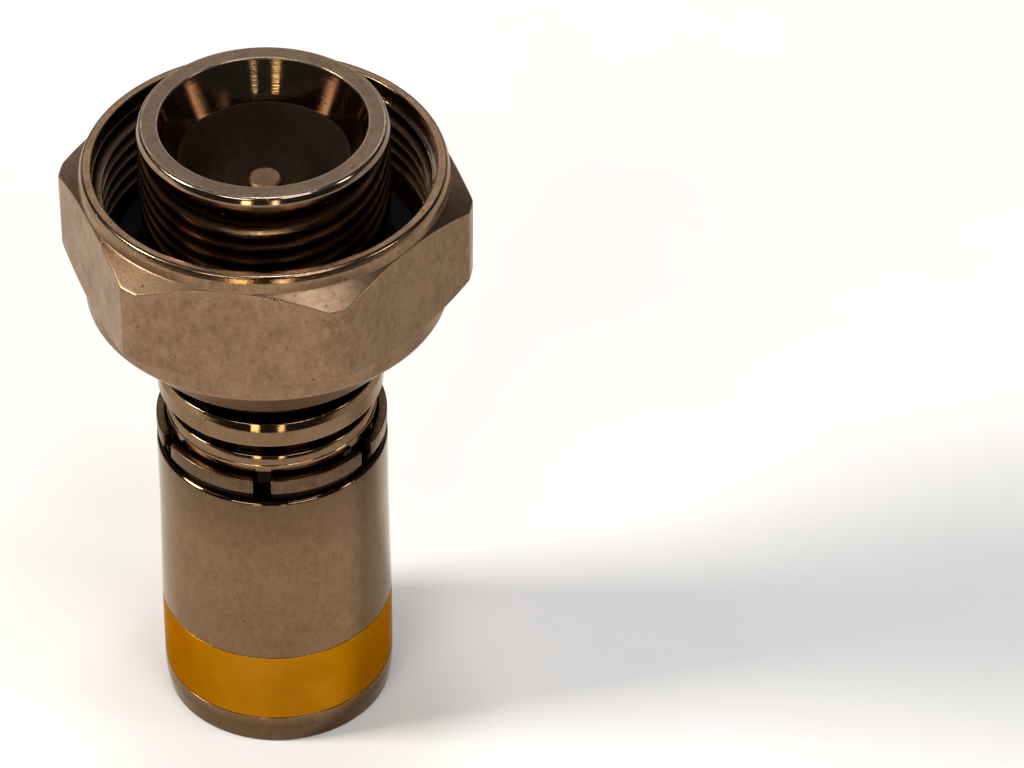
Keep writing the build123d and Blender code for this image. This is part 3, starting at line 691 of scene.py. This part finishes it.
half_flat = math.acos(FLAT_R / CORNER_R)
angles, from_flat = hexagon_angles(half_flat)
side_r = smooth_least(FLAT_R / np.cos(from_flat), CORNER_R, CORNER_BLEND)
slope = math.tan(math.radians(CHAMFER_ANGLE))
every = np.ones_like(angles)
nut_corners = [
    (POCKET_R * every, hub_low, BEVEL_EDGE),
    (HUB_R * every, hub_low, BROKEN_EDGE),
    (REAR_COLLAR_R * every, cone_high, 0.15),
    (REAR_COLLAR_R * every, flats_low, TURNED_EDGE),
    (side_r, flats_low + (side_r - REAR_COLLAR_R) * slope, 0.09),
    (side_r, flats_high - (side_r - FRONT_COLLAR_R) * slope, 0.09),
    (FRONT_COLLAR_R * every, flats_high, TURNED_EDGE),
    (FRONT_COLLAR_R * every, mouth_high - LIP_BEVEL_LENGTH, BEVEL_EDGE),
    ((FRONT_COLLAR_R - LIP_BEVEL) * every, mouth_high, BEVEL_FRONT),
    (MOUTH_R * every, mouth_high, BROKEN_EDGE),
    (MOUTH_R * every, mouth_high - MOUTH_DEPTH, SEAT_EDGE),
    (THREAD_MAJOR_R * every, mouth_high - MOUTH_DEPTH, 0.02),
    (THREAD_MAJOR_R * every, web_high, SOFT_EDGE),
    (web_bore_r * every, web_high, TURNED_EDGE),
    (web_bore_r * every, seal_middle + SEAL_SEAT_HALF, SEAT_EDGE),
    (SEAL_SEAT_R * every, seal_middle + SEAL_SEAT_HALF, SEAT_EDGE),
    (SEAL_SEAT_R * every, seal_middle - SEAL_SEAT_HALF, SEAT_EDGE),
    (web_bore_r * every, seal_middle - SEAL_SEAT_HALF, SEAT_EDGE),
    (web_bore_r * every, web_low, TURNED_EDGE),
    (POCKET_R * every, web_low, TURNED_EDGE),
]
corner_grid = np.stack([np.stack([r, z * every, e * every], -1) for r, z, e in nut_corners], 1)
outline, row_wear = rounded_outline(corner_grid)
rows_per_corner = outline.shape[1] // len(nut_corners)
THREAD_AFTER = 12         # corners up to the mouth's foot, where the thread's rows come in
mouth_rows = THREAD_AFTER * rows_per_corner

# the thread: right-handed, one start; its ridge is a vee v, rounded at crest and root by
# 3 v^2 - 2 v^3; its crest is lighter, partly real rubbing and partly a painted highlight,
# and its root carries painted shade
thread_high = mouth_high - MOUTH_DEPTH - THREAD_START
thread_low = gasket_high - THREAD_PAST_GASKET
thread_z = np.linspace(thread_high, thread_low, int((thread_high - thread_low) * THREAD_ROWS_PER_PITCH))
turns = thread_z[None, :] / THREAD_PITCH - angles[:, None] / (2 * math.pi)
vee = np.clip(1.15 * (1 - np.abs(2 * (turns % 1) - 1)) - 0.12, 0, 1)
ridge = vee ** 2 * (3 - 2 * vee)
fade = np.clip(np.minimum(thread_high - thread_z, thread_z - thread_low) / THREAD_FADE, 0, 1)
thread_r = THREAD_MAJOR_R - THREAD_DEPTH * ridge * fade
thread = np.stack([thread_r, thread_z + 0 * thread_r], -1)
outline = np.concatenate([outline[:, :mouth_rows], thread, outline[:, mouth_rows:]], 1)
wear_and_painted_light = np.broadcast_to(EDGE_WEAR * row_wear[:, None], (len(row_wear), len(angles)))
wear_and_painted_light = np.concatenate([wear_and_painted_light[:mouth_rows], (4 * ridge ** 4 - 1).T, wear_and_painted_light[mouth_rows:]], 0)
nut = ring_mesh("coupling_nut_body", outline[..., 0].T, outline[..., 1].T, angles[None, :], wear_and_painted_light)
# hands have polished the lip; the thread is duller than the flats
mark(nut, "satin", -0.5, FRONT_COLLAR_R + OVER, mouth_high - LIP_BEVEL_LENGTH - OVER, mouth_high + OVER)
mark(nut, "satin", 0.5, THREAD_MAJOR_R + 0.02, web_high, mouth_high - MOUTH_DEPTH)
place(nut, "nut", satin_nickel, "satin_nickel", "coupling_nut")

# ---- Centre pin and its insulators -----------------------------------------------------
# The pin is turned brass, nickel plated, with a collar between an insulating disc in front and
# a guide behind, both moulded acetal. A pressed ring keeps the disc in, a spring ring the jaws.
dress(white_acetal, "front_insulator", "pin_guide")
dress(spring_bronze, "clamp_ring")
dress(polished_nickel, "insulator_keeper")
# The pin's nickel: matt and pitted from use
pin_nickel = handled_metal("handled nickel plate on the pin", colour="#8d7458", tarnish="#6c5440",
                           worn="#b4926c", roughness=0.3, smudge=0.15, mottle=0.7, grain_depth=0.01,
                           pitted=0.08)
dress(pin_nickel, "centre_pin")

# ---- Floor, lamps and camera -----------------------------------------------------------
# A white table in front of two lit backdrops, with softboxes at both sides and above, two panels
# at the front and two low strip lamps. The camera looks down at 40 degrees from the front.


def paper():
    """Matt white paper with soft fibre patches 8 mm wide, clear when seen from below."""
    material, tree, shader, spot = new_finish("white paper", Metallic=0.0, Roughness=0.9)
    fibre = add(tree, "ShaderNodeTexNoise", {"Vector": spot, "Scale": 1 / (8 * MM), "Detail": 4.0})
    tone = add(tree, "ShaderNodeMix", {0: fibre.outputs[0], 6: linear("#f6f5f3"),
                                       7: linear("#f2f1ee")}, data_type="RGBA")
    tree.links.new(tone.outputs[2], shader.inputs["Base Color"])
    clear = add(tree, "ShaderNodeBsdfTransparent")
    side = add(tree, "ShaderNodeNewGeometry")
    both = add(tree, "ShaderNodeMixShader", {0: side.outputs["Backfacing"], 1: shader.outputs[0],
                                             2: clear.outputs[0]})
    tree.links.new(both.outputs[0], tree.nodes["Material Output"].inputs["Surface"])
    return material


FLOOR_HALF = 3.0          # metres, like every size in this section
FLOOR_DROP = 0.00002
floor_mesh = bpy.data.meshes.new("floor")
floor_mesh.from_pydata([(-FLOOR_HALF, -FLOOR_HALF, -FLOOR_DROP), (FLOOR_HALF, -FLOOR_HALF, -FLOOR_DROP),
                        (FLOOR_HALF, FLOOR_HALF, -FLOOR_DROP), (-FLOOR_HALF, FLOOR_HALF, -FLOOR_DROP)],
                       [], [(0, 1, 2, 3)])
floor_mesh.materials.append(paper())
floor = bpy.data.objects.new("floor", floor_mesh)
bpy.context.scene.collection.objects.link(floor)


LAMP_AIM = 0.02           # height that the lamps turn round


def lamp(name, azimuth, elevation, distance, width, height, watts, colour):
    """Area lamp at an azimuth (0 towards the camera, 90 to its right) that faces the plug."""
    light = bpy.data.lights.new(name, "AREA")
    light.shape = "RECTANGLE"
    light.size = width
    light.size_y = height
    light.energy = watts
    light.color = linear(colour)[:3]
    a, e = math.radians(azimuth), math.radians(elevation)
    away = [math.sin(a) * math.cos(e), -math.cos(a) * math.cos(e), math.sin(e)]
    holder = bpy.data.objects.new(name, light)
    holder.location = [distance * part for part in away]
    holder.location.z += LAMP_AIM
    holder.rotation_euler = Vector(away).to_track_quat("Z", "Y").to_euler()
    bpy.context.scene.collection.objects.link(holder)


lamp("key softbox", -82, 36, 0.8, 0.2, 0.2, 5.5, "#fffaf2")
lamp("right softbox", 76, 27, 0.8, 0.14, 0.24, 0.8, "#fffaf2")
lamp("upper left softbox", -80, 60, 0.8, 0.2, 0.2, 0.15, "#fffdf8")
lamp("upper right softbox", 50, 70, 0.8, 0.24, 0.24, 1.0, "#eff4ff")
lamp("left front panel", -25, 39, 0.8, 0.3, 0.13, 1.2, "#fffaf6")
lamp("right front panel", 32, 39, 0.8, 0.3, 0.13, 1.2, "#fffaf6")
lamp("overhead lamp", 180, 84, 0.9, 0.14, 0.14, 1.6, "#f4f8ff")
lamp("near backdrop", 180, 40, 0.9, 0.8, 0.35, 1.0, "#ffffff")
lamp("far backdrop", 180, 14, 0.9, 2.0, 0.4, 0.9, "#ffffff")
lamp("left strip", -12, 7.0, 0.6, 0.07, 0.115, 0.26, "#ffe9ac")
lamp("right strip", 11.5, 7.0, 0.6, 0.05, 0.115, 0.13, "#ffeed0")

world = bpy.data.worlds.new("studio")
world.use_nodes = True
room = world.node_tree.nodes["Background"].inputs
room["Color"].default_value = linear("#ffffff")
room["Strength"].default_value = 0.05
bpy.context.scene.world = world
bpy.context.scene.view_settings.view_transform = "Standard"

# a long lens that looks down at the plug, which stands left of the middle
AIM = (0.0147, 0.0, 0.02365)
CAMERA_DISTANCE = 0.31543
CAMERA_ELEVATION = 40.475
CAMERA_ROLL = 0.5
LENS = 181.8
view = bpy.data.cameras.new("camera")
view.sensor_width = 36.0
view.lens = LENS
tilt = math.radians(CAMERA_ELEVATION)
camera = bpy.data.objects.new("camera", view)
camera.location = (AIM[0], AIM[1] - CAMERA_DISTANCE * math.cos(tilt),
                   AIM[2] + CAMERA_DISTANCE * math.sin(tilt))
camera.rotation_mode = "ZYX"
camera.rotation_euler = (math.pi / 2 - tilt, 0, math.radians(CAMERA_ROLL))
view.clip_start = 0.01
view.clip_end = 20.0
bpy.context.scene.collection.objects.link(camera)
bpy.context.scene.camera = camera
